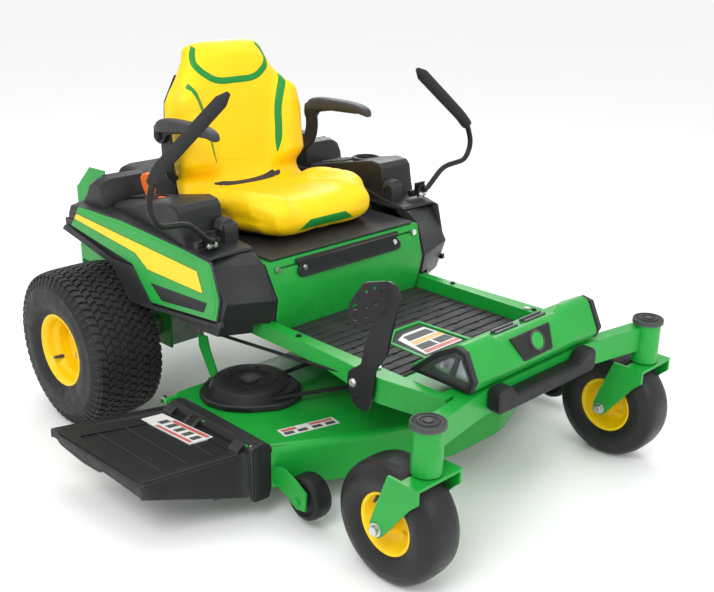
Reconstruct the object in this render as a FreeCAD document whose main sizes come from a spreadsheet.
import FreeCAD, Part
import math
import os
import types

import Sketcher

# A zero-turn riding mower. The machine faces -Y, its left side is +X and the ground is z = 0.
# Every piece is drawn about the machine's centre plane (x = 0) and the rear axle (y = 0). The
# Placement of each finished sub-part then carries it to the row frame, whose origin is the middle
# of the whole machine's footprint.

Vector = FreeCAD.Vector
doc = FreeCAD.newDocument("riding_mower")
sheet = doc.addObject("Spreadsheet::Sheet", "Sizes")

DIMENSIONS = [
    ("frame_shift_x", 88, "machine centre plane to row origin"),
    ("frame_shift_y", 484.5, "rear axle to row origin"),
    ("wheelbase", 1302, "rear axle to caster axles"),
    ("wheel_offset", 560, "centre plane to rear tyre centre"),
    ("tyre_radius", 254, "rear tyre, 20 inch"),
    ("tyre_width", 249, "rear tyre, 10 inch"),
    ("rim_radius", 118, "rear rim flange, 8 inch seat"),
    ("caster_offset", 480, "centre plane to caster post"),
    ("caster_trail", 85, "caster post to caster axle"),
    ("caster_radius", 165, "caster tyre, 13 inch"),
    ("caster_width", 128, "caster tyre, 5 inch"),
    ("caster_rim", 84, "caster rim flange, 6 inch seat"),
    ("post_radius", 39, "caster post tube"),
    ("post_low", 330, "caster post bottom"),
    ("post_high", 449, "caster post top"),
    ("stem_radius", 12.7, "caster stem, 1 inch bar"),
    ("play", 0.09, "radial running clearance of a shaft"),
    ("rail_inner", 310, "centre plane to inside of a frame rail"),
    ("rail_outer", 345, "centre plane to outside of a frame rail"),
    ("rail_top", 440, "top of the frame rails"),
    ("rail_low", 368, "underside of the rails at the front"),
    ("rail_rear", 400, "rear end of the rails"),
    ("frame_front", -1309, "front end of the rails"),
    ("sheet_steel", 4, "formed sheet steel"),
    ("plate_steel", 8, "heavy plate"),
    ("moulding", 4, "wall of a plastic moulding"),
    ("pan_top", 396, "top of the foot platform"),
    ("side_front_x", 472, "side panel plane at y = side_front_y"),
    ("side_front_y", -600, "front of the side panel plane"),
    ("side_rear_x", 556, "side panel plane at y = side_rear_y"),
    ("side_rear_y", 186, "rear of the side panel plane"),
    ("panel_skin", 5, "thickness of the coloured side panel"),
    ("side_split", 640, "joint between a fender and the console above it"),
    ("deck_centre", 60, "deck is offset to the left of the centre plane"),
    ("deck_half", 650, "half the width of the deck shell"),
    ("deck_low", 90, "lower lip of the deck shell"),
    ("deck_high", 215, "top face of the deck shell"),
    ("deck_rear", -415, "rear wall of the deck"),
    ("deck_front", -1105, "foremost point of the deck"),
    ("deck_wall", 4, "deck sheet"),
    ("scalp_left_x", 615, "left anti-scalp wheel"),
    ("scalp_right_x", -495, "right anti-scalp wheel"),
    ("scalp_y", -989, "anti-scalp wheel axles"),
    ("scalp_z", 92, "anti-scalp wheel axles"),
    ("spindle_pitch", 400, "blade spindle spacing"),
    ("spindle_side_y", -655, "outer spindles"),
    ("spindle_mid_y", -830, "middle spindle"),
    ("blade_radius", 212, "half a blade's length"),
    ("blade_z", 120, "underside of the blades"),
    ("spindle_radius", 12.7, "spindle shaft"),
    ("pulley_radius", 70, "spindle pulley"),
    ("belt_z", 244, "middle of the deck belt"),
    ("belt_step", 26, "drive belt above the deck belt"),
    ("crank_y", 230, "crankshaft behind the rear axle"),
    ("crank_radius", 14.3, "crankshaft"),
    ("clutch_radius", 80, "electric blade clutch pulley"),
    ("engine_floor", 448, "engine mounting face"),
    ("lever_pivot_x", 440, "control lever pivot"),
    ("lever_pivot_y", -500, "control lever pivot"),
    ("lever_pivot_z", 676, "control lever pivot"),
    ("lever_radius", 11, "control lever tube"),
    ("grip_radius", 18, "control lever grip"),
    ("seat_half", 270, "half the width of the seat"),
    ("cover_half", 263, "half the width of the front cover"),
    ("bumper_half", 214, "half the width of the front bumper"),
    ("hinge_x", -592, "chute hinge line"),
    ("hinge_z", 222, "chute hinge line"),
    ("chute_out", -885, "outer edge of the discharge chute"),
    ("bolt_head", 9, "radius of a visible bolt head"),
    ("hitch_hole", 8, "radius of the hitch pin hole"),
]


class Size:
    """A length that remembers its spreadsheet expression through arithmetic."""

    def __init__(self, value, text):
        self.value = value
        self.text = text

    def joined(self, other, value, sign):
        return Size(value, f"({self.text} {sign} {text_of(other)})")

    def __add__(self, other):
        return self.joined(other, self.value + value_of(other), "+")

    def __sub__(self, other):
        return self.joined(other, self.value - value_of(other), "-")

    def __mul__(self, other):
        return self.joined(other, self.value * value_of(other), "*")

    def __truediv__(self, other):
        return self.joined(other, self.value / value_of(other), "/")

    def __neg__(self):
        return Size(-self.value, f"(-1 * {self.text})")

    def __radd__(self, other):
        return self + other

    def __rsub__(self, other):
        return -self + other

    def __rmul__(self, other):
        return self * other


def value_of(quantity):
    return quantity.value if isinstance(quantity, Size) else float(quantity)


def text_of(quantity):
    return quantity.text if isinstance(quantity, Size) else f"({float(quantity)})"


def fill_sheet():
    for row, (alias, value, note) in enumerate(DIMENSIONS, start=1):
        sheet.set(f"A{row}", note)
        sheet.set(f"B{row}", str(value))
        sheet.setAlias(f"B{row}", alias)
    doc.recompute()
    return types.SimpleNamespace(
        **{alias: Size(value, f"Sizes.{alias}") for alias, value, note in DIMENSIONS}
    )


size = fill_sheet()
sub_parts = []


# ---------------------------------------------------------------- drawing tools


def bind(target, path, quantity):
    target.setExpression(path, text_of(quantity))


def named(piece, name):
    piece.Label = name
    return piece


def keep(piece, name):
    """Counts a finished object as a sub-part."""
    sub_parts.append(named(piece, name))
    return piece


def new_body(name):
    return named(doc.addObject("PartDesign::Body", name), name)


def new_sketch(body, plane, origin):
    """An empty sketch on one of the body's own planes, moved by origin along its own axes."""
    sketch = body.newObject("Sketcher::SketchObject", body.Name + "_sketch")
    role = plane + "_Plane"
    support = [item for item in body.Origin.OriginFeatures if item.Role == role][0]
    sketch.AttachmentSupport = [(support, "")]
    sketch.MapMode = "FlatFace"
    for axis, offset in zip("xyz", origin):
        bind(sketch, f"AttachmentOffset.Base.{axis}", offset)
    return sketch


def pin_point(sketch, element, end, point):
    for kind, quantity in zip(("DistanceX", "DistanceY"), point):
        constraint = Sketcher.Constraint(kind, element, end, value_of(quantity))
        number = sketch.addConstraint(constraint)
        bind(sketch, f"Constraints[{number}]", quantity)


def polygon(sketch, points):
    """A closed outline of straight runs, every corner bound to the sheet."""
    corners = [Vector(value_of(a), value_of(b), 0) for a, b in points]
    count = len(corners)
    first = sketch.GeometryCount
    for index in range(count):
        sketch.addGeometry(Part.LineSegment(corners[index], corners[(index + 1) % count]), False)
    for index in range(count):
        following = first + (index + 1) % count
        sketch.addConstraint(Sketcher.Constraint("Coincident", first + index, 2, following, 1))
        pin_point(sketch, first + index, 1, points[index])


def circle(sketch, centre, radius):
    middle = Vector(value_of(centre[0]), value_of(centre[1]), 0)
    ring = Part.Circle(middle, Vector(0, 0, 1), value_of(radius))
    element = sketch.addGeometry(ring, False)
    pin_point(sketch, element, 3, centre)
    number = sketch.addConstraint(Sketcher.Constraint("Radius", element, value_of(radius)))
    bind(sketch, f"Constraints[{number}]", radius)


def drawn_at(body, plane, offset):
    """A sketch whose plane crosses its normal axis at offset. XZ's normal is -Y."""
    return new_sketch(body, plane, (0, 0, -offset if plane == "XZ" else offset))


def extrude(body, kind, sketch, length):
    feature = body.newObject("PartDesign::" + kind, body.Name + "_" + kind.lower())
    feature.Profile = sketch
    bind(feature, "Length", length)
    return feature


def add_plate(body, plane, points, low, high):
    """Adds a prism of the outline between low and high along the plane's normal axis."""
    sketch = drawn_at(body, plane, high if plane == "XZ" else low)
    polygon(sketch, points)
    extrude(body, "Pad", sketch, high - low)
    return body


def add_disc(body, plane, centre, radius, low, high):
    sketch = drawn_at(body, plane, high if plane == "XZ" else low)
    circle(sketch, centre, radius)
    extrude(body, "Pad", sketch, high - low)
    return body


def cut_plate(body, plane, points, low, high):
    sketch = drawn_at(body, plane, low if plane == "XZ" else high)
    polygon(sketch, points)
    extrude(body, "Pocket", sketch, high - low)
    return body


def cut_disc(body, plane, centres, radius, low, high):
    sketch = drawn_at(body, plane, low if plane == "XZ" else high)
    for centre in centres:
        circle(sketch, centre, radius)
    extrude(body, "Pocket", sketch, high - low)
    return body


def add_loft(body, sections):
    """Adds a faceted solid through YZ outlines, each given with its own x."""
    sketches = []
    for offset, points in sections:
        sketch = drawn_at(body, "YZ", offset)
        polygon(sketch, points)
        sketches.append(sketch)
    loft = body.newObject("PartDesign::AdditiveLoft", body.Name + "_loft")
    loft.Profile = sketches[0]
    loft.Sections = sketches[1:]
    loft.Ruled = True
    doc.recompute()
    return body


def add_turned(body, axis, centre, profile):
    """Adds a revolved ring. The profile's points are (along the axis, radius)."""
    x, y, z = centre
    plane = "XY" if axis == "Y" else "XZ"
    origin = (x, y, z) if plane == "XY" else (x, z, -y)
    sketch = new_sketch(body, plane, origin)
    upright = axis in "YZ"
    polygon(sketch, [(r, a) if upright else (a, r) for a, r in profile])
    turned = body.newObject("PartDesign::Revolution", body.Name + "_turned")
    turned.Profile = sketch
    turned.ReferenceAxis = (sketch, ["V_Axis" if upright else "H_Axis"])
    turned.Angle = 360
    return body


def edges_of(shape, test):
    return [f"Edge{index}" for index, edge in enumerate(shape.Edges, 1) if test(edge)]


def round_edges(body, radius, test, kind="Fillet"):
    """Rounds or chamfers the edges of the body that pass the test."""
    doc.recompute()
    base = body.Tip
    feature = body.newObject("PartDesign::" + kind, body.Name + "_" + kind.lower())
    feature.Base = (base, edges_of(base.Shape, test))
    bind(feature, "Radius" if kind == "Fillet" else "Size", radius)
    doc.recompute()
    return body


def hollow(body, wall, test):
    """Shells the body inwards, leaving open the faces whose outward normal passes the test."""
    doc.recompute()
    base = body.Tip
    faces = []
    for index, face in enumerate(base.Shape.Faces, 1):
        low, high, start, end = face.ParameterRange
        normal = face.normalAt((low + high) / 2, (start + end) / 2)
        if test(normal, face.BoundBox):
            faces.append(f"Face{index}")
    feature = body.newObject("PartDesign::Thickness", body.Name + "_shell")
    feature.Base = (base, faces)
    feature.Reversed = False
    feature.Join = 1
    bind(feature, "Value", wall)
    doc.recompute()
    return body


def block(low, high):
    """A plain box between two corners."""
    piece = doc.addObject("Part::Box", "block")
    for path, start, end in zip(("Length", "Width", "Height"), low, high):
        bind(piece, path, end - start)
    for axis, start in zip("xyz", low):
        bind(piece, f"Placement.Base.{axis}", start)
    return piece


TURNS = {
    "X": FreeCAD.Rotation(Vector(0, 1, 0), 90),
    "Y": FreeCAD.Rotation(Vector(1, 0, 0), -90),
    "Z": FreeCAD.Rotation(),
}


def bar(start, axis, radius, length):
    """A round bar that runs from start along +axis."""
    piece = doc.addObject("Part::Cylinder", "bar")
    bind(piece, "Radius", radius)
    bind(piece, "Height", length)
    piece.Placement = FreeCAD.Placement(Vector(), TURNS[axis])
    for letter, quantity in zip("xyz", start):
        bind(piece, f"Placement.Base.{letter}", quantity)
    return piece


def fused(pieces):
    piece = doc.addObject("Part::MultiFuse", "fused")
    piece.Shapes = pieces
    piece.Refine = False
    return piece


def common(pieces):
    piece = doc.addObject("Part::MultiCommon", "common")
    piece.Shapes = pieces
    return piece


def without(base, tool):
    piece = doc.addObject("Part::Cut", "cut")
    piece.Base = base
    piece.Tool = tool
    return piece


def group(pieces):
    piece = doc.addObject("Part::Compound", "group")
    piece.Links = pieces
    return piece


def mirrored(source):
    """The same piece on the other side of the centre plane."""
    piece = doc.addObject("Part::Mirroring", "mirrored")
    piece.Source = source
    piece.Normal = Vector(1, 0, 0)
    return piece


def keep_pair(piece, name):
    """Keeps a left-hand piece and its mirror image as two sub-parts."""
    keep(mirrored(piece), name + "_right")
    keep(group([piece]), name + "_left")


def bent_bar(points, radius, bend):
    """A round bar swept along straight runs joined by tangent arcs of radius bend."""
    places = [Vector(*(value_of(item) for item in point)) for point in points]
    edges = []
    start = places[0]
    for before, corner, after in zip(places, places[1:], places[2:]):
        entering = (corner - before).normalize()
        leaving = (after - corner).normalize()
        half_turn = entering.getAngle(leaving) / 2
        setback = bend * math.tan(half_turn)
        arc_start = corner - entering * setback
        arc_end = corner + leaving * setback
        inward = (leaving - entering).normalize()
        arc_middle = corner + inward * (bend / math.cos(half_turn) - bend)
        edges.append(Part.LineSegment(start, arc_start).toShape())
        edges.append(Part.Arc(arc_start, arc_middle, arc_end).toShape())
        start = arc_end
    edges.append(Part.LineSegment(start, places[-1]).toShape())
    first = (places[1] - places[0]).normalize()
    ring = Part.Wire([Part.Circle(places[0], first, value_of(radius)).toShape()])
    swept = Part.Wire(edges).makePipeShell([ring], True, False)
    piece = doc.addObject("Part::Feature", "bent_bar")
    piece.Shape = swept
    return piece


def both_sides(points):
    """A left-hand outline closed across the centre plane by its mirror image."""
    return list(points) + [(-a if isinstance(a, Size) else -float(a), b) for a, b in reversed(points)]


# ---------------------------------------------------------------- frame and running gear


def make_main_frame():
    """Two formed side rails, cross-members and the plates that carry the axle drives."""
    inner, outer, top = size.rail_inner, size.rail_outer, size.rail_top
    front = size.frame_front
    plan = new_body("rail_plan")
    add_plate(
        plan,
        "XY",
        [
            (inner, size.rail_rear),
            (outer, size.rail_rear),
            (outer, -700),
            (outer + 20, -1117),
            (inner + 20, front),
            (inner, front),
        ],
        size.rail_low,
        top,
    )
    side = new_body("rail_side")
    add_plate(
        side,
        "YZ",
        [
            (size.rail_rear, top),
            (front, top),
            (front, size.rail_low),
            (-1080, size.rail_low),
            (-900, top - 48),
            (size.rail_rear, top - 48),
        ],
        inner - 1,
        outer + 30,
    )
    rail = common([plan, side])
    low = top - 48
    steel = size.plate_steel
    members = [
        block((-inner, front, size.rail_low), (inner, front + 30, top)),
        block((-inner, -590, low), (inner, -560, top)),
        block((-inner, 60, low), (inner, 90, top)),
        block((-outer, 70, size.engine_floor - steel), (outer, size.rail_rear, size.engine_floor)),
        block((-outer, size.rail_rear, 330), (outer, size.rail_rear + steel, size.engine_floor)),
    ]
    hangers = [
        block((inner, -95, 190), (inner + steel, 95, low + 10)),
        block((-inner - steel, -95, 190), (-inner, 95, low + 10)),
    ]
    solid = fused([rail, mirrored(rail)] + members + hangers)
    openings = fused(
        [
            bar((0, size.crank_y, 380), "Z", 30, 100),
            bar((-400, 0, size.tyre_radius), "X", 46, 800),
        ]
    )
    return keep(without(solid, openings), "main_frame")


def make_front_axle():
    """The swept arms of the front axle with a post tube welded to each end."""
    front, low, top = size.frame_front, size.rail_low, size.rail_top
    offset = size.caster_offset
    post_y = -size.wheelbase - size.caster_trail
    arms = new_body("axle_arms")
    add_plate(
        arms,
        "XY",
        both_sides(
            [
                (size.rail_inner - 10, front - 1),
                (size.rail_inner + 6, front - 12),
                (offset - 6, post_y + 40),
                (offset - 6, post_y - 8),
                (offset - 64, post_y + 6),
                (size.cover_half + 3, front - 44),
                (size.bumper_half - 4, front - 36),
            ]
        ),
        low,
        top,
    )
    pieces = [arms]
    for side in (-1, 1):
        pieces.append(
            bar((offset * side, post_y, size.post_low), "Z", size.post_radius, size.post_high - size.post_low)
        )
    bores = [
        bar((offset * side, post_y, size.post_low - 10), "Z", size.stem_radius + size.play, 200)
        for side in (-1, 1)
    ]
    return keep(without(fused(pieces), fused(bores)), "front_axle")


def rim_profile(half, radius, disc_at, bore):
    """Half section of a pressed steel wheel: two flanges, drop centre, disc and hub."""
    well = radius * 0.78
    skin = 5
    return [
        (-half, radius),
        (-half + 6, radius),
        (-half + 9, radius - 9),
        (-half + 30, radius - 12),
        (-half + 42, well),
        (half - 42, well),
        (half - 30, radius - 12),
        (half - 9, radius - 9),
        (half - 6, radius),
        (half, radius),
        (half, radius - 6),
        (half - 14, radius - 18),
        (half - 34, radius - 20),
        (half - 46, well - skin),
        (disc_at + 12, well - skin),
        (disc_at + 4, radius * 0.5),
        (disc_at + 10, bore + 22),
        (disc_at + 10, bore),
        (disc_at - 34, bore),
        (disc_at - 34, bore + 12),
        (disc_at + 2, bore + 14),
        (disc_at - 4, radius * 0.5),
        (disc_at - 4, well - skin),
        (-half + 46, well - skin),
        (-half + 34, radius - 20),
        (-half + 14, radius - 18),
        (-half, radius - 6),
    ]


def make_rear_wheel(name, side):
    """A drive wheel: turf tyre, pressed rim, hub shaft and five wheel bolts."""
    half = size.tyre_width / 2
    centre = (size.wheel_offset * side, 0, size.tyre_radius)
    tyre = new_body("rear_tyre_" + name)
    rim_half = half - 14
    bead = size.rim_radius + 1
    reach = size.tyre_radius - bead
    profile = [
        (-rim_half + 2, bead),
        (-half + 10, bead + reach * 0.18),
        (-half, bead + reach * 0.45),
        (-half + 3, bead + reach * 0.72),
        (-half + 14, bead + reach * 0.89),
        (-half + 36, bead + reach * 0.97),
        (-half * 0.4, size.tyre_radius),
        (half * 0.4, size.tyre_radius),
        (half - 36, bead + reach * 0.97),
        (half - 14, bead + reach * 0.89),
        (half - 3, bead + reach * 0.72),
        (half, bead + reach * 0.45),
        (half - 10, bead + reach * 0.18),
        (rim_half - 2, bead),
        (rim_half - 6.5, bead),
        (rim_half - 10.5, bead - 8),
        (rim_half - 30, bead - 10.5),
        (rim_half - 44, bead + 6),
        (-rim_half + 44, bead + 6),
        (-rim_half + 30, bead - 10.5),
        (-rim_half + 10.5, bead - 8),
        (-rim_half + 6.5, bead),
    ]
    add_turned(tyre, "X", centre, profile)
    keep(tyre, "rear_tyre_" + name)

    rim = new_body("rear_rim_body_" + name)
    bore = 17
    rim_points = rim_profile(rim_half, size.rim_radius, 20, bore)
    if side < 0:
        rim_points = [(-a if isinstance(a, Size) else -a, r) for a, r in rim_points]
    add_turned(rim, "X", centre, rim_points)
    shaft = bar(((size.rail_outer + 10) * side, 0, size.tyre_radius), "X", bore, 0)
    bind(shaft, "Height", size.wheel_offset + 36 - size.rail_outer - 10)
    if side < 0:
        bind(shaft, "Placement.Base.x", -size.wheel_offset - 36)
    bolts = []
    for index in range(5):
        angle = math.radians(90 + 72 * index)
        start = size.wheel_offset * side + (20 if side > 0 else -32)
        across = (start, 57 * math.cos(angle), size.tyre_radius + 57 * math.sin(angle))
        bolts.append(bar(across, "X", size.bolt_head, 12))
    return keep(fused([rim, shaft] + bolts), "rear_rim_" + name)


def make_caster(name, side):
    """A trailing fork with its stem and cap, and the smooth tyre and pressed rim it carries."""
    x = size.caster_offset * side
    post_y = -size.wheelbase - size.caster_trail
    axle = (x, -size.wheelbase, size.caster_radius)
    half = size.caster_width / 2
    crown = size.post_low - 4
    leg_in = half + 7
    plate = size.plate_steel
    crown_plate = block((x - leg_in - plate, post_y - 44, crown - plate), (x + leg_in + plate, post_y + 14, crown))
    leg = new_body("fork_leg_" + name)
    foot = size.caster_radius
    add_plate(
        leg,
        "YZ",
        [
            (post_y - 44, crown),
            (post_y + 52, crown),
            (-size.wheelbase + 22, foot + 14),
            (-size.wheelbase + 22, foot - 12),
            (-size.wheelbase + 10, foot - 22),
            (-size.wheelbase - 10, foot - 22),
            (-size.wheelbase - 24, foot - 6),
            (post_y - 20, crown - 62),
            (post_y - 44, crown - 40),
        ],
        leg_in,
        leg_in + plate,
    )
    near_leg = group([leg])
    far_leg = mirrored(leg)
    for piece in (near_leg, far_leg):
        bind(piece, "Placement.Base.x", x)
    stem = bar((x, post_y, crown - 2), "Z", size.stem_radius, size.post_high - crown + 4)
    washer = bar((x, post_y, crown - 1), "Z", 30, 4)
    cap = bar((x, post_y, size.post_high + 1), "Z", size.post_radius + 5, 12)
    axle_bolt = bar((x - leg_in - plate - 9, -size.wheelbase, foot), "X", 8, leg_in * 2 + plate * 2 + 18)
    heads = [
        bar((x - leg_in - plate - 11, -size.wheelbase, foot), "X", 12, 11),
        bar((x + leg_in + plate, -size.wheelbase, foot), "X", 12, 11),
    ]
    steel = fused([crown_plate, near_leg, far_leg, stem, washer, cap, axle_bolt] + heads)
    keep(steel, "caster_fork_" + name)

    rim_half = half - 16
    rim = new_body("caster_rim_body_" + name)
    bead = size.caster_rim
    well = bead - 22
    bore = 8 + size.play
    add_turned(
        rim,
        "X",
        axle,
        [
            (-rim_half, bead),
            (-rim_half + 5, bead),
            (-rim_half + 9, bead - 9),
            (-12, well + 4),
            (12, well + 4),
            (rim_half - 9, bead - 9),
            (rim_half - 5, bead),
            (rim_half, bead),
            (rim_half, bead - 5),
            (rim_half - 12, bead - 16),
            (6, well - 6),
            (6, 20),
            (leg_in - 3, 20),
            (leg_in - 3, bore),
            (-leg_in + 3, bore),
            (-leg_in + 3, 20),
            (-6, 20),
            (-6, well - 6),
            (-rim_half + 12, bead - 16),
            (-rim_half, bead - 5),
        ],
    )
    keep(rim, "caster_rim_" + name)

    tyre = new_body("caster_tyre_" + name)
    reach = size.caster_radius - bead - 1
    add_turned(
        tyre,
        "X",
        axle,
        [
            (-rim_half + 1, bead + 1),
            (-half + 5, bead + reach * 0.2),
            (-half, bead + reach * 0.45),
            (-half + 4, bead + reach * 0.7),
            (-half + 17, bead + reach * 0.9),
            (-half * 0.4, size.caster_radius),
            (half * 0.4, size.caster_radius),
            (half - 17, bead + reach * 0.9),
            (half - 4, bead + reach * 0.7),
            (half, bead + reach * 0.45),
            (half - 5, bead + reach * 0.2),
            (rim_half - 1, bead + 1),
            (rim_half - 5.5, bead + 1),
            (rim_half - 10, bead - 7.5),
            (14, well + 6),
            (-14, well + 6),
            (-rim_half + 10, bead - 7.5),
            (-rim_half + 5.5, bead + 1),
        ],
    )
    return keep(tyre, "caster_tyre_" + name)


# ---------------------------------------------------------------- platform and front cover


def make_platform():
    """Foot platform with a raised rim, the rubber mat on it and the service hatch in the rim."""
    front = size.frame_front + 32
    pan_top = size.pan_top
    edge = size.rail_inner - 2
    hatch = [(75, -848), (86, -1058), (-122, -1058), (-116, -905), (-44, -848)]
    inner = [(64, -859), (74, -1047), (-111, -1047), (-106, -910), (-39, -859)]
    hatch_points = [(Size(a, f"{a}"), b) for a, b in hatch]
    inner_points = [(Size(a, f"{a}"), b) for a, b in inner]
    pan = new_body("pan")
    add_plate(
        pan, "XY", both_sides([(edge, front), (edge, -640)]), pan_top - size.sheet_steel, pan_top
    )
    add_plate(pan, "XY", hatch_points, pan_top - 1, pan_top + 9)
    cut_plate(pan, "XY", inner_points, pan_top - size.sheet_steel - 1, pan_top + 10)
    keep(pan, "foot_platform")

    mat = new_body("mat")
    mat_low = pan_top + 0.2
    add_plate(mat, "XY", both_sides([(edge - 4, -1085), (edge - 4, -660)]), mat_low, mat_low + 4)
    for index in range(11):
        rib = -690 - 36 * index
        add_plate(
            mat, "XY", both_sides([(edge - 12, rib - 24), (edge - 12, rib)]), mat_low + 3, mat_low + 7
        )
    wide_hatch = [(76, -847), (87, -1059), (-123, -1059), (-117, -904.5), (-44.5, -847)]
    cut_plate(mat, "XY", wide_hatch, mat_low - 1, mat_low + 9)
    keep(mat, "floor_mat")

    lid = new_body("lid")
    lid_points = [(63, -860), (73, -1046), (-110, -1046), (-105, -910.5), (-38.6, -860)]
    add_plate(lid, "XY", lid_points, pan_top - 3, pan_top + 4)
    return keep(lid, "floor_hatch")


def make_front_cover():
    """The sloping front cover, its lamps and the bumper below it."""
    half = size.cover_half
    rear, front = -1132, size.frame_front - 5
    low = size.rail_top + 2
    profile = [
        (rear, low),
        (rear, low + 14),
        (rear - 88, 517),
        (rear - 152, 558),
        (front - 4, 552),
        (front - 34, 466),
        (front - 26, low),
    ]
    cover = new_body("cover")
    add_plate(cover, "YZ", profile, -half + size.sheet_steel, half - size.sheet_steel)
    hollow(cover, size.sheet_steel, lambda normal, box: normal.z < -0.99)
    for middle in (-78, 78):
        for row in range(3):
            y = rear - 100 - 14 * row
            cut_plate(
                cover,
                "XY",
                [(middle - 34, y), (middle - 34, y - 5), (middle + 34, y - 5), (middle + 34, y)],
                500,
                570,
            )
    keep(cover, "front_cover")

    bezel = new_body("bezel")
    outline = [(-1140, 446), (-1222, 519), (-1292, 556), (-1318, 550), (-1352, 466), (-1340, 447)]
    add_plate(bezel, "YZ", outline, half + 0.5, half + 16)
    recess = [(-1166, 454), (-1228, 507), (-1290, 542), (-1310, 538), (-1338, 466), (-1330, 456)]
    cut_plate(bezel, "YZ", recess, half + 6, half + 17)
    keep(group([group([bezel]), mirrored(bezel)]), "headlight_bezels")

    lens = new_body("lens")
    glass = [(-1170, 456), (-1229, 505), (-1290, 539), (-1308, 535), (-1334, 467), (-1328, 458)]
    add_plate(lens, "YZ", glass, half + 10, half + 13.5)
    keep(group([group([lens]), mirrored(lens)]), "headlight_lenses")

    bumper = new_body("bumper")
    wide = size.bumper_half
    back = front - 34
    add_plate(
        bumper,
        "XZ",
        both_sides([(wide - 10, 380), (wide, 392), (wide, 434), (wide - 12, 447), (wide - 52, 447), (wide - 76, 420)]),
        back - 42,
        back,
    )
    round_edges(bumper, 9, lambda edge: edge.BoundBox.YMax < value_of(back) - 41)
    return keep(bumper, "front_bumper")


# ---------------------------------------------------------------- body panels


def cut_outside(body, inset):
    """Cuts away what stands outside the flared plane of the side panels."""
    front_x, front_y = size.side_front_x - inset, size.side_front_y
    rear_x, rear_y = size.side_rear_x - inset, size.side_rear_y
    slope = (size.side_rear_x - size.side_front_x) / (size.side_rear_y - size.side_front_y)
    reach = 200
    outside = [
        (front_x - slope * reach, front_y - reach),
        (rear_x + slope * reach, rear_y + reach),
        (rear_x + 300, rear_y + reach),
        (front_x + 400, front_y - reach),
    ]
    return cut_plate(body, "XY", outside, 380, 900)


def make_seat_panel():
    """The kneed sheet in front of the seat, the plate bolted to it and the seat deck above."""
    sheet_y = size.sheet_steel
    top = 613
    profile = new_body("panel_profile")
    add_plate(
        profile,
        "YZ",
        [
            (-520, top),
            (-606, top),
            (-644, 510),
            (-623, 400),
            (-623 + sheet_y, 400),
            (-644 + sheet_y, 510),
            (-606 + sheet_y, top - sheet_y),
            (-520, top - sheet_y),
        ],
        -330,
        330,
    )
    front = new_body("panel_front")
    add_plate(front, "XZ", both_sides([(303, 398), (306, 510), (322, top + 5)]), -660, -500)
    holes = [bar((side * 287, -620, 591), "Y", 5, 30) for side in (-1, 1)]
    keep(without(common([profile, front]), fused(holes)), "seat_front_panel")

    plate = new_body("plate")
    add_plate(
        plate,
        "YZ",
        [(-608.6, 608), (-614.6, 606), (-633.8, 554), (-627.8, 556)],
        -214,
        214,
    )
    keep(plate, "front_badge_plate")

    deck = new_body("seat_deck")
    add_plate(
        deck,
        "XY",
        both_sides([(300, -602), (300, 40), (220, 58)]),
        616,
        622,
    )
    cut_plate(deck, "XY", both_sides([(120, -430), (120, -60)]), 610, 630)
    return keep(deck, "seat_deck")


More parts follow.
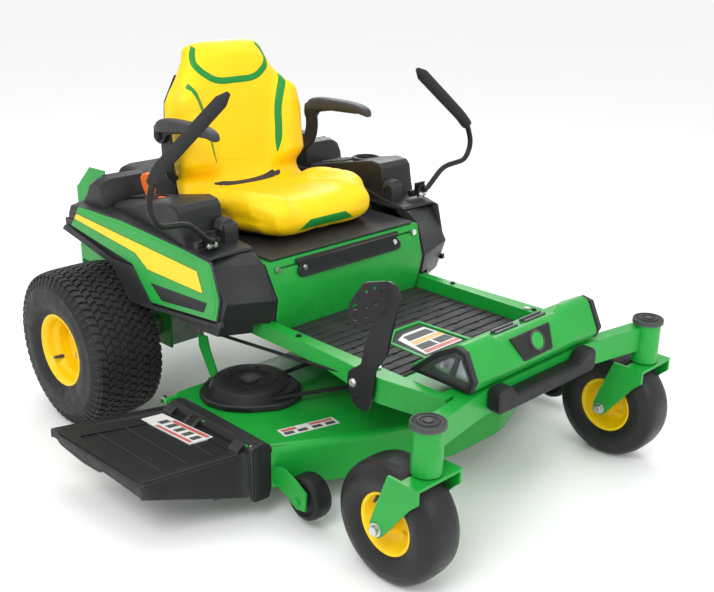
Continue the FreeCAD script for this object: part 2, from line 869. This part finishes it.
def make_side(name="side"):
    """The moulded fender with its faceted front pod, the coloured panel and the console."""
    fender = new_body("fender")
    outer = 566
    inner = 324
    split = size.side_split
    inner_points = [
        (-606, 612),
        (-641, 510),
        (-621, 412),
        (-560, 412),
        (-300, 436),
        (-192, 440),
        (-120, 540),
        (112, 606),
        (112, split),
        (-560, split),
    ]
    outer_points = [
        (-492, 628),
        (-586, 537),
        (-531, 420),
        (-500, 420),
        (-300, 436),
        (-192, 440),
        (-120, 540),
        (128, 606),
        (128, split),
        (-470, split),
    ]
    add_loft(fender, [(inner, inner_points), (outer, outer_points)])
    cut_outside(fender, size.panel_skin + 0.5)
    rail_clear = size.rail_outer + 27
    notch = [(300, 380), (rail_clear, 380), (rail_clear, size.rail_top + 3), (300, size.rail_top + 3)]
    cut_plate(fender, "XZ", notch, -700, 200)
    wall = size.moulding
    pod_room = [
        (-544, 604),
        (-598, 512),
        (-580, 446),
        (-420, 446),
        (-420, split - wall),
        (-500, split - wall),
    ]
    cut_plate(fender, "YZ", pod_room, inner - 1, 440)
    side_room = [
        (-420, 430),
        (-200, 430),
        (-196, 444 + wall),
        (-126, 540 + wall),
        (106, 606 + wall),
        (106, split - wall),
        (-420, split - wall),
    ]
    cut_plate(fender, "YZ", side_room, inner - 1, 478)
    cut_plate(fender, "YZ", [(-180, 470), (-126, 545), (106, 611), (106, 600), (-110, 530)], inner - 1, 478)
    cut_disc(fender, "XY", [(378, 20)], 25, split - 10, split + 10)
    keep_pair(fender, "fender")

    plan = new_body("skin_plan")
    front_x, front_y = size.side_front_x, size.side_front_y
    rear_x, rear_y = size.side_rear_x, size.side_rear_y
    skin = size.panel_skin
    add_plate(
        plan,
        "XY",
        [(front_x - skin, front_y), (front_x, front_y), (rear_x, rear_y), (rear_x - skin, rear_y)],
        400,
        800,
    )
    side = new_body("skin_side")
    add_plate(
        side,
        "YZ",
        [
            (-555, 637),
            (-586, 532),
            (-572, 469),
            (-289, 457),
            (-211, 561),
            (85, 624),
            (62, 652),
            (40, 692),
            (-172, 686),
            (-449, 655),
        ],
        400,
        700,
    )
    keep_pair(common([plan, side]), "side_panel")

    console = new_body("console")
    base = split + 0.5
    high = [
        (-552, base),
        (-545, 652),
        (-440, 662),
        (-374, 728),
        (-330, 738),
        (-44, 704),
        (20, 782),
        (72, 776),
        (118, 700),
        (118, base),
    ]
    low = [
        (-540, base),
        (-535, 648),
        (-440, 658),
        (-360, 676),
        (-300, 680),
        (-60, 690),
        (20, 696),
        (60, 698),
        (100, 694),
        (110, base),
    ]
    add_loft(console, [(318, high), (435, high), (560, low)])
    cut_outside(console, size.panel_skin + 0.5)
    high_room = [
        (-535, split - 1),
        (-535, 646),
        (-436, 656),
        (-370, 722),
        (-330, 732),
        (-42, 698),
        (22, 776),
        (68, 770),
        (112, 700),
        (112, split - 1),
    ]
    cut_plate(console, "YZ", high_room, 322, 431)
    low_room = [(-400, split - 1), (-400, 652), (-350, 664), (-60, 682), (92, 688), (92, split - 1)]
    cut_plate(console, "YZ", low_room, 430, 474)
    return console


def make_consoles():
    """Left console with a cup well and filler hole, right console with the control holes."""
    shell = make_side()
    pivot_y, pivot_z = size.lever_pivot_y + 6, size.lever_pivot_z
    ears = [block((x, pivot_y - 18, 646), (x + 6, pivot_y + 18, pivot_z + 16)) for x in (404, 470)]
    pivot_bore = bar((395, pivot_y, pivot_z), "X", 11 + size.play, 100)
    left = without(fused([group([shell])] + ears), pivot_bore)
    right = mirrored(left)
    well_wall = bar((378, -285, 672), "Z", 46, 65)
    well = bar((378, -285, 676), "Z", 42, 80)
    filler = bar((378, 20, 740), "Z", 25, 80)
    keep(without(fused([group([left]), well_wall]), fused([well, filler])), "console_left")
    control_holes = [
        bar((-400, -150, 690), "Z", 4.5, 60),
        bar((-400, -215, 690), "Z", 4.5, 60),
    ]
    slot = block((-384, -108, 680), (-372, -52, 760))
    keep(without(right, fused(control_holes + [slot])), "console_right")


# ---------------------------------------------------------------- power unit


def make_engine():
    """V-twin block with finned cylinders, its shroud, screen, crankshaft and exhaust."""
    floor = size.engine_floor
    y = size.crank_y
    crankcase = bar((0, y, floor + 1), "Z", 118, 120)
    base = block((-110, y - 100, floor), (110, y + 110, floor + 20))
    pieces = [crankcase, base]
    for side in (-1, 1):
        low_x = 70 if side > 0 else -200
        pieces.append(block((low_x, y + 10, floor + 44), (low_x + 130, y + 110, floor + 128)))
        for index in range(9):
            fin = (96 if side > 0 else -102) + 11 * index * side
            pieces.append(block((fin, y - 6, floor + 32), (fin + 6, y + 126, floor + 140)))
        head_x = 194 if side > 0 else -226
        pieces.append(block((head_x, y - 2, floor + 36), (head_x + 32, y + 122, floor + 136)))
        pieces.append(bar((side * 130, y + 100, floor + 60), "Y", 15, 100))
    muffler = bar((-150, y + 204, floor + 60), "X", 44, 300)
    tail = bar((150 - 4, y + 204, floor + 60), "X", 17, 60)
    oil_filter = bar((150, y - 90, floor + 30), "Z", 36, 70)
    filter_neck = block((90, y - 100, floor + 2), (165, y - 70, floor + 32))
    pieces += [muffler, tail, oil_filter, filter_neck]
    bore = bar((0, y, floor - 5), "Z", size.crank_radius + size.play, 200)
    keep(without(fused(pieces), bore), "engine_block")

    shroud_low = floor + 144
    shroud_high = floor + 268
    shroud = new_body("shroud")
    outline = [(200, y - 60), (150, y - 150), (-150, y - 150), (-200, y - 60), (-200, y + 130), (-150, y + 160)]
    outline += [(150, y + 160), (200, y + 130)]
    add_plate(shroud, "XY", outline, shroud_low, shroud_high)
    round_edges(
        shroud,
        30,
        lambda edge: edge.BoundBox.ZMin > value_of(shroud_high) - 1,
    )
    inner = [(194, y - 58), (146, y - 144), (-146, y - 144), (-194, y - 58), (-194, y + 127), (-146, y + 154)]
    inner += [(146, y + 154), (194, y + 127)]
    cut_plate(shroud, "XY", inner, shroud_low - 1, shroud_high - 34)
    cut_disc(shroud, "XY", [(0, y)], 112, shroud_low, shroud_high + 1)
    air_box = block((-130, y - 144, shroud_high - 8), (130, y - 120, shroud_high + 30))
    keep(fused([group([shroud]), air_box]), "engine_shroud")

    screen = new_body("screen")
    screen_low = shroud_high - 16
    add_turned(
        screen,
        "Z",
        (0, y, screen_low),
        [(0, 0), (0, 20), (0, 106), (6, 108), (14, 104), (18, 70), (20, 0)],
    )
    for count, radius, step in ((10, 34, 0), (16, 58, 0.2), (22, 84, 0.1)):
        holes = []
        for index in range(count):
            angle = 2 * math.pi * index / count + step
            holes.append((radius * math.cos(angle), y + radius * math.sin(angle)))
        cut_disc(screen, "XY", holes, 6, screen_low - 1, screen_low + 30)
    keep(screen, "debris_screen")

    clutch_low = size.belt_z + size.belt_step - 14
    shaft = bar((0, y, clutch_low - 4), "Z", size.crank_radius, screen_low - clutch_low + 3.9)
    pulley = new_body("clutch_pulley")
    radius = size.clutch_radius
    add_turned(
        pulley,
        "Z",
        (0, y, clutch_low),
        [(0, 5), (0, radius), (6, radius), (7, radius - 14), (21, radius - 14), (22, radius), (28, radius), (28, 62), (72, 62), (72, 5)],
    )
    keep(fused([shaft, pulley]), "crank_clutch")

    cap_z = 790
    tank = new_body("tank")
    side_view = [(-380, 452), (-210, 452), (-136, 562), (58, 614), (58, 628), (-380, 628)]
    add_plate(tank, "YZ", side_view, 334, 428)
    neck = bar((378, 20, 620), "Z", 22, cap_z - 620)
    keep(fused([tank, neck]), "fuel_tank")
    cap = new_body("cap")
    add_turned(cap, "Z", (378, 20, cap_z + 0.2), [(0, 0), (0, 36), (18, 36), (23, 31), (23, 0)])
    for index in range(12):
        angle = 2 * math.pi * index / 12
        cut_disc(cap, "XY", [(378 + 38 * math.cos(angle), 20 + 38 * math.sin(angle))], 5, cap_z - 1, cap_z + 30)
    keep(cap, "fuel_cap")


def make_transaxles():
    """A hydrostatic drive for each rear wheel, hung from the frame plates."""
    inner = size.rail_inner
    axle_z = size.tyre_radius
    case = block((inner - 130, -88, 196), (inner - 4, 84, 322))
    horn = bar((inner - 30, 0, axle_z), "X", 42, 0)
    bind(horn, "Height", size.rail_outer + 55 - inner + 30)
    fan_shaft = bar((inner - 70, -20, 320), "Z", 8, 34)
    fan = bar((inner - 70, -20, 334), "Z", 58, 6)
    pulley = bar((inner - 70, -20, 346), "Z", 44, 14)
    fan_post = bar((inner - 70, -20, 338), "Z", 12, 10)
    bore = bar((size.rail_outer + 8, 0, axle_z), "X", 17 + size.play, 60)
    drive = without(fused([case, horn, fan_shaft, fan, pulley, fan_post]), bore)
    return keep(group([group([drive]), mirrored(drive)]), "transaxles")


def make_rear_guard():
    """Formed guard round the engine's rear, its louvres and the hitch plate under it."""
    rear = size.rail_rear + 94
    wide = 292
    floor = size.engine_floor
    steel = size.sheet_steel
    wing = new_body("wing")
    outline = [(rear, floor), (rear, 632), (400, 716), (300, 720), (300, 600), (size.rail_rear + 8, floor)]
    add_plate(wing, "YZ", outline, wide - steel, wide)
    wall = new_body("guard_wall")
    add_plate(wall, "XZ", both_sides([(wide, floor), (wide, 632), (wide - 60, 646)]), rear, rear + steel)
    for row in range(4):
        z = 500 + 30 * row
        cut_plate(
            wall, "XZ", both_sides([(170, z), (170, z + 12)]), rear - 1, rear + steel + 1
        )
    shelf = block((-wide, size.rail_rear + 8, floor - 6), (wide, rear + steel, floor))
    bracket_low = 334
    pieces = [group([wing]), mirrored(wing), wall, shelf]
    hitch = block((-60, size.rail_rear + 8, bracket_low), (60, rear - 4, bracket_low + size.plate_steel))
    ribs = [
        block((side * 52 - 3, size.rail_rear + 8, bracket_low), (side * 52 + 3, rear - 40, floor - 4))
        for side in (-1, 1)
    ]
    pin = bar((0, rear - 34, bracket_low - 5), "Z", size.hitch_hole, 30)
    return keep(without(fused(pieces + [hitch] + ribs), pin), "rear_guard")


def make_frame_bolts():
    """Bolts that hold the seat panel, the badge plate and the front axle arms."""
    bolts = []
    for side in (-1, 1):
        shank = bar((side * 287, -622, 591), "Y", 4.9, 11)
        head = bar((side * 287, -625.8, 591), "Y", size.bolt_head, 8)
        bolts.append(fused([shank, head]))
        bolts.append(bar((side * 190, -633, 580), "Y", 7, 6))
        bolts.append(bar((side * 322, -1066, size.rail_top), "Z", 9, 5))
    keep(group(bolts), "frame_bolts")


# ---------------------------------------------------------------- cutting deck


def deck_outline(inset):
    """Plan of the deck, inset from its outer face: a blunt bow, two swept corners, a straight stern."""
    mid = size.deck_centre
    half = size.deck_half - inset
    front = size.deck_front + inset
    rear = size.deck_rear - inset
    left = [
        (half, rear - 50),
        (half, -840),
        (half - 18, -868),
        (half - 64, -891),
        (406 - inset * 0.6, -988 + inset),
        (150, front + 10),
        (90, front),
    ]
    return (
        [(mid + half - 60, rear)]
        + [(mid + a, b) for a, b in left]
        + [(mid - a, b) for a, b in reversed(left)]
        + [(mid - half + 60, rear)]
    )


def spindle_places():
    mid = size.deck_centre
    pitch = size.spindle_pitch
    return [
        ("left", mid + pitch, size.spindle_side_y),
        ("center", mid, size.spindle_mid_y),
        ("right", mid - pitch, size.spindle_side_y),
    ]


def make_deck_shell():
    low, high = size.deck_low, size.deck_high
    wall = size.deck_wall
    shell = new_body("deck")
    add_plate(shell, "XY", deck_outline(0), low, high)
    round_edges(shell, 22, lambda edge: edge.BoundBox.ZMin > value_of(high) - 0.1)
    cut_plate(shell, "XY", deck_outline(wall), low - 1, high - 27)
    cut_plate(shell, "XY", deck_outline(18), high - 30, high - wall)
    right_wall = size.deck_centre - size.deck_half
    cut_plate(
        shell, "YZ", [(-820, low - 1), (-820, 186), (-500, 186), (-500, low - 1)], right_wall - 5, right_wall + 30
    )
    centres = [(x, y) for name, x, y in spindle_places()]
    cut_disc(shell, "XY", centres, 36, high - 30, high + 1)
    housings = []
    for name, x, y in spindle_places():
        outer = fused([bar((x, y, high - 40), "Z", 33, 56), bar((x, y, high - 2), "Z", 62, 8)])
        bore = bar((x, y, high - 50), "Z", size.spindle_radius + size.play, 90)
        housings.append(without(outer, bore))
    keep(fused([group([shell])] + housings + wheel_brackets()), "deck_shell")


def wheel_brackets():
    """A plate, its foot and an axle pin for each anti-scalp wheel, in front of the deck."""
    wheel_y, wheel_z = size.scalp_y, size.scalp_z
    brackets = []
    for side, x in ((1, size.scalp_left_x), (-1, size.scalp_right_x)):
        inner = x + 38 * side
        low_x, high_x = sorted((inner, inner + 6 * side), key=value_of)
        plate = new_body("wheel_bracket")
        add_plate(
            plate,
            "YZ",
            [
                (-862, 120),
                (-862, 150),
                (-930, 168),
                (wheel_y + 6, 150),
                (wheel_y - 34, 128),
                (wheel_y - 30, 74),
                (wheel_y + 4, 68),
                (wheel_y + 42, 88),
            ],
            low_x,
            high_x,
        )
        pin_low = sorted((x - 34 * side, x + 50 * side), key=value_of)[0]
        pin = bar((pin_low, wheel_y, wheel_z), "X", 9, 84)
        brackets.append(fused([plate, pin]))
    return brackets


def make_deck_fittings():
    """Belt covers, wheel and chute brackets, and hangers that carry the deck."""
    high = size.deck_high
    mid = size.deck_centre
    pitch = size.spindle_pitch
    y = size.spindle_side_y
    covers = []
    for side in (-1, 1):
        x = mid + pitch * side
        outline = [
            (x + 108 * side, y - 40),
            (x + 84 * side, y - 96),
            (x - 40 * side, y - 112),
            (x - 112 * side, y - 70),
            (x - 118 * side, y + 90),
            (x - 60 * side, y + 176),
            (x + 40 * side, y + 188),
            (x + 104 * side, y + 130),
        ]
        cover = new_body("belt_cover")
        top = high + 56
        add_plate(cover, "XY", outline, high + 0.2, top)
        round_edges(cover, 14, lambda edge, limit=value_of(top): edge.BoundBox.ZMin > limit - 0.1)
        room = [(x + (a - x) * 0.94, y + 50 + (b - y - 50) * 0.94) for a, b in outline]
        cut_plate(cover, "XY", room, high - 1, top - 8)
        inside = x - 130 * side
        notch = [(x - 45 * side, y - 120), (inside, y - 120), (inside, y + 90), (x - 45 * side, y + 90)]
        cut_plate(cover, "XY", notch, high - 1, high + 40)
        covers.append(cover)
    keep(group([group([cover]) for cover in covers]), "belt_covers")

    hangers = []
    for side in (-1, 1):
        x = -388 if side < 0 else 380
        hanger = new_body("hanger")
        add_plate(
            hanger,
            "YZ",
            [(-454, 216), (-404, 216), (-352, 300), (-352, 338), (-392, 342), (-404, 300), (-436, 238), (-454, 226)],
            x,
            x + 8,
        )
        foot = block((x - 20, -458, high_of_deck()), (x + 28, -422, high_of_deck() + 6))
        hangers.append(fused([hanger, foot]))
    hinge_x, hinge_z = size.hinge_x, size.hinge_z
    hinge_rod = bar((hinge_x, -850, hinge_z), "Y", 5, 372)
    knuckles = []
    for start in (-862, -668, -486):
        arm = block((hinge_x - 9, start, hinge_z - 6.5), (hinge_x + 40, start + 14, hinge_z + 9))
        knuckles.append(arm)
    hinge = fused([hinge_rod] + knuckles)
    keep(group(hangers + [hinge]), "deck_brackets")
    wheel_y, wheel_z = size.scalp_y, size.scalp_z
    for name, x in (("right", size.scalp_right_x), ("left", size.scalp_left_x)):
        wheel = new_body("deck_wheel_" + name)
        add_turned(
            wheel,
            "X",
            (x, wheel_y, wheel_z),
            [
                (-30, 9 + size.play),
                (-30, 22),
                (-22, 40),
                (-30, 50),
                (-26, 60),
                (-14, 64),
                (14, 64),
                (26, 60),
                (30, 50),
                (22, 40),
                (30, 22),
                (30, 9 + size.play),
            ],
        )
        keep(wheel, "deck_wheel_" + name)


def high_of_deck():
    return size.deck_high + 0.2


def make_blades():
    """Each spindle: a shaft in its housing, a pulley above the deck and a blade below it."""
    low = size.blade_z
    radius = size.blade_radius
    for name, x, y in spindle_places():
        above = 14 + size.belt_step if name == "center" else 14
        shaft = bar((x, y, low - 6), "Z", size.spindle_radius, size.belt_z + above - low + 6)
        collar = bar((x, y, low + 6), "Z", 24, size.deck_high - 44 - low - 6)
        bolt = bar((x, y, low - 16), "Z", 14, 16)
        levels = [0, size.belt_step] if name == "center" else [0]
        pulleys = []
        wide = size.pulley_radius
        for level in levels:
            pulley = new_body("spindle_pulley_" + name)
            groove = [(0, 5), (0, wide), (3, wide), (4, wide - 12), (18, wide - 12), (19, wide), (22, wide), (22, 5)]
            add_turned(pulley, "Z", (x, y, size.belt_z - 11 + level), groove)
            pulleys.append(pulley)
        blade = new_body("blade_plate_" + name)
        add_plate(
            blade,
            "XY",
            [
                (x - radius, y - 30),
                (x - 40, y - 32),
                (x + 40, y - 32),
                (x + radius, y - 14),
                (x + radius, y + 30),
                (x + 40, y + 32),
                (x - 40, y + 32),
                (x - radius, y + 14),
            ],
            low,
            low + 6,
        )
        wings = []
        for side in (-1, 1):
            trailing = [(y + a * side, low + b) for a, b in ((30, 5), (22, 5), (34, 26), (42, 26))]
            start = x + radius - 70 if side > 0 else x - radius
            wing = new_body("blade_wing")
            add_plate(wing, "YZ", trailing, start, start + 70)
            wings.append(wing)
        keep(fused([shaft, collar, bolt, blade] + pulleys + wings), "blade_spindle_" + name)


def make_belts():
    """The deck belt round the three spindles and the drive belt up to the clutch."""
    pulley = value_of(size.pulley_radius) - 6.4
    left, middle, right = [
        Vector(value_of(x), value_of(y), 0) for name, x, y in spindle_places()
    ]
    clutch = Vector(0, value_of(size.crank_y), 0)
    drum = value_of(size.clutch_radius) - 8.4
    keep(belt([(right, pulley), (middle, pulley), (left, pulley)], size.belt_z), "deck_belt")
    upper = size.belt_z + size.belt_step
    return keep(belt([(middle, pulley), (clutch, drum)], upper), "drive_belt")


def belt(stations, z):
    """A closed flat band, 10 mm square in section, round discs in counter-clockwise order."""
    band = Part.Face(belt_loop(stations, 5)).cut(Part.Face(belt_loop(stations, -5)))
    band.translate(Vector(0, 0, value_of(z) - 5))
    piece = doc.addObject("Part::Feature", "belt")
    piece.Shape = band.extrude(Vector(0, 0, 10))
    return piece


def belt_loop(stations, offset):
    """The outer tangent loop round discs given in counter-clockwise order."""
    edges = []
    starts, ends = [], []
    count = len(stations)
    for index in range(count):
        centre, radius = stations[index]
        following, next_radius = stations[(index + 1) % count]
        run = following - centre
        outward = Vector(run.y, -run.x, 0).normalize()
        ends.append(centre + outward * (radius + offset))
        starts.append(following + outward * (next_radius + offset))
    for index in range(count):
        edges.append(Part.LineSegment(ends[index], starts[index]).toShape())
        centre, radius = stations[(index + 1) % count]
        arriving, leaving = starts[index], ends[(index + 1) % count]
        first = math.atan2(arriving.y - centre.y, arriving.x - centre.x)
        last = math.atan2(leaving.y - centre.y, leaving.x - centre.x)
        halfway = first + (last - first) % (2 * math.pi) / 2
        reach = radius + offset
        middle = centre + Vector(math.cos(halfway), math.sin(halfway), 0) * reach
        edges.append(Part.Arc(arriving, middle, leaving).toShape())
    return Part.Wire(edges)


def make_chute():
    """The hinged discharge chute: a sloping roof with a front skirt, a rear lip and hinge eyes."""
    x0, z0 = size.hinge_x, size.hinge_z
    out = size.chute_out
    roof = new_body("chute_roof")
    add_loft(
        roof,
        [
            (out, [(-786, 152), (-786, 190), (-322, 178), (-322, 152)]),
            (x0 - 14, [(-866, 96), (-866, 212), (-478, 212), (-478, 150)]),
        ],
    )
    room = new_body("chute_room")
    add_loft(
        room,
        [
            (out - 1, [(-778, 130), (-778, 184), (-330, 172), (-330, 130)]),
            (x0 - 12, [(-858, 60), (-858, 206), (-486, 206), (-486, 60)]),
        ],
    )
    eyes = []
    for start in (-846, -650, -640, -540):
        eye = fused(
            [
                bar((x0, start, z0), "Y", 10, 40),
                block((x0 - 30, start, z0 - 20), (x0, start + 40, z0 - 4)),
            ]
        )
        eyes.append(eye)
    bore = bar((x0, -880, z0), "Y", 5 + size.play, 420)
    solid = without(fused([without(roof, room)] + eyes), bore)
    return keep(solid, "discharge_chute")


def make_lift_pedal():
    """Foot pedal that lifts the deck, its arm outside the right rail and its pivot."""
    arm_x = -(size.rail_outer + 34)
    arm = new_body("pedal_arm")
    add_plate(
        arm,
        "YZ",
        [
            (-1085, 340),
            (-1035, 340),
            (-1006, 398),
            (-1012, 430),
            (-1062, 470),
            (-1068, 520),
            (-1104, 606),
            (-1112, 700),
            (-1156, 716),
            (-1194, 690),
            (-1168, 600),
            (-1150, 520),
            (-1108, 462),
            (-1100, 400),
        ],
        arm_x,
        arm_x + 8,
    )
    pad = new_body("pedal_pad")
    add_plate(
        pad,
        "XY",
        [(arm_x + 4, -1148), (arm_x - 73, -1071), (arm_x - 69, -1067), (arm_x + 4, -1140)],
        578,
        714,
    )
    rows = [(arm_x - 20 - 18 * a, 600 + 30 * b) for a in range(3) for b in range(4)]
    cut_disc(pad, "XZ", rows, 5, -1180, -1040)
    pivot = bar((arm_x - 6, -1030, 404), "X", 10, 23)
    return keep(fused([arm, pad, pivot]), "lift_pedal")


# ---------------------------------------------------------------- controls and seat


def make_lever(side, name):
    """A control lever: pivot base, bent tube with its grip."""
    route = [
        (440, -524, 668),
        (453, -522, 692),
        (515, -520, 756),
        (612, -545, 786),
        (644, -538, 840),
        (611, -525, 894),
        (386, -532, 1090),
    ]
    points = [(side * a, b, c) for a, b, c in route]
    tube = bent_bar(points, size.lever_radius, 26)
    low, top = Vector(*points[-2]), Vector(*points[-1])
    start = low + (top - low) * 0.06
    along = (top - low).normalize()
    length = (top - start).Length
    grip = doc.addObject("Part::Feature", "grip")
    grip.Shape = Part.makeCylinder(value_of(size.grip_radius), length + 6, start, along)
    foot = doc.addObject("Part::Feature", "lever_foot")
    foot.Shape = Part.makeBox(44, 8, 38, Vector(side * 440 - 22, -516, 664))
    keep(fused([tube, grip, foot]), "control_lever_" + name)

    base_x = (418 if side > 0 else -462)
    plate = block((base_x, -506, 668), (base_x + 44, -498, 712))
    pivot_x = 402 if side > 0 else -480
    pivot = bar((pivot_x, size.lever_pivot_y + 6, size.lever_pivot_z), "X", 11, 78)
    return keep(fused([plate, pivot]), "lever_base_" + name)


def make_seat():
    """Tilting seat deck carrier, sliding seat pan, moulded cushion and folding armrests."""
    half = size.seat_half
    base = new_body("pan_plate")
    add_plate(base, "XY", both_sides([(180, -470), (180, -60)]), 628, 636)
    rails = [block((side * 150 - 14, -470, 622.5), (side * 150 + 14, -60, 630)) for side in (-1, 1)]
    posts = []
    for side in (-1, 1):
        post = new_body("armrest_post")
        add_plate(
            post,
            "YZ",
            [(-120, 630), (-30, 630), (-10, 700), (-48, 790), (-52, 900), (-70, 926), (-112, 926), (-128, 880), (-126, 800)],
            side * 281 - 5,
            side * 281 + 5,
        )
        posts.append(post)
        low_x, high_x = sorted((side * 170, side * 286))
        posts.append(block((low_x, -112, 628), (high_x, -50, 636)))
        posts.append(bar((side * 286 - 12, -88, 905), "X", 7, 24))
    keep(fused([base] + rails + posts), "seat_base")

    profile = new_body("seat_profile")
    add_plate(
        profile,
        "YZ",
        [
            (-470, 640),
            (-512, 662),
            (-520, 700),
            (-500, 732),
            (-440, 742),
            (-300, 722),
            (-150, 706),
            (-108, 740),
            (-92, 820),
            (-78, 950),
            (-60, 1080),
            (-36, 1160),
            (-6, 1182),
            (26, 1170),
            (36, 1120),
            (14, 960),
            (-14, 800),
            (-40, 690),
            (-80, 648),
            (-130, 637),
        ],
        -half - 20,
        half + 20,
    )
    front = new_body("seat_front")
    add_plate(
        front,
        "XZ",
        both_sides(
            [
                (205, 630),
                (half - 4, 662),
                (half, 730),
                (half - 14, 780),
                (half - 10, 900),
                (half - 8, 980),
                (half - 26, 1040),
                (206, 1100),
                (152, 1160),
                (96, 1184),
            ]
        ),
        -600,
        100,
    )
    keep(common([profile, front]), "seat_cushion")

    for side, name in ((-1, "right"), (1, "left")):
        arm = new_body("armrest_" + name)
        add_plate(
            arm,
            "YZ",
            [(-82, 888), (-66, 905), (-68, 940), (-100, 954), (-300, 958), (-376, 948), (-384, 936), (-330, 920), (-140, 910), (-106, 890)],
            side * 312 - 24,
            side * 312 + 24,
        )
        cut_disc(arm, "YZ", [(-88, 905)], 7 + size.play, side * 312 - 30, side * 312 + 30)
        keep(arm, "armrest_" + name)


def make_small_controls():
    """Throttle lever, ignition key and blade switch on the right console."""
    throttle = [block((-382, -84, 652), (-374, -76, 740)), block((-387, -98, 722), (-369, -64, 786))]
    keep(fused(throttle), "throttle_lever")
    key_low = 721
    key = [
        bar((-400, -150, 700), "Z", 4, 24),
        bar((-400, -150, key_low), "Z", 13, 5),
        block((-402, -164, key_low + 4), (-398, -136, key_low + 28)),
    ]
    keep(fused(key), "ignition_key")
    switch = [bar((-400, -215, 700), "Z", 4, 44), bar((-400, -215, 731), "Z", 17, 16)]
    keep(fused(switch), "blade_switch")


# ---------------------------------------------------------------- the whole machine


def make_machine():
    make_main_frame()
    make_front_axle()
    for name, side in (("left", 1), ("right", -1)):
        make_rear_wheel(name, side)
        make_caster(name, side)
        make_lever(side, name)
    make_platform()
    make_front_cover()
    make_seat_panel()
    make_consoles()
    make_engine()
    make_transaxles()
    make_rear_guard()
    make_frame_bolts()
    make_deck_shell()
    make_deck_fittings()
    make_blades()
    make_belts()
    make_chute()
    make_lift_pedal()
    make_seat()
    make_small_controls()


def place_in_row_frame():
    for piece in sub_parts:
        bind(piece, "Placement.Base.x", size.frame_shift_x)
        bind(piece, "Placement.Base.y", size.frame_shift_y)
    doc.recompute()


def check_model():
    """Stops before anything is written if an object failed or a sub-part has no sound shape."""
    for item in doc.Objects:
        if "Invalid" in item.State or "Error" in item.State:
            raise RuntimeError(f"{item.Label} failed: {item.getStatusString()}")
    for piece in sub_parts:
        if piece.Shape.isNull() or not piece.Shape.isValid():
            raise RuntimeError(f"{piece.Label} has no valid shape")


def write_parts():
    os.makedirs("parts", exist_ok=True)
    for piece in sub_parts:
        piece.Shape.exportStep(f"parts/{piece.Label}.step")


make_machine()
place_in_row_frame()
check_model()
write_parts()
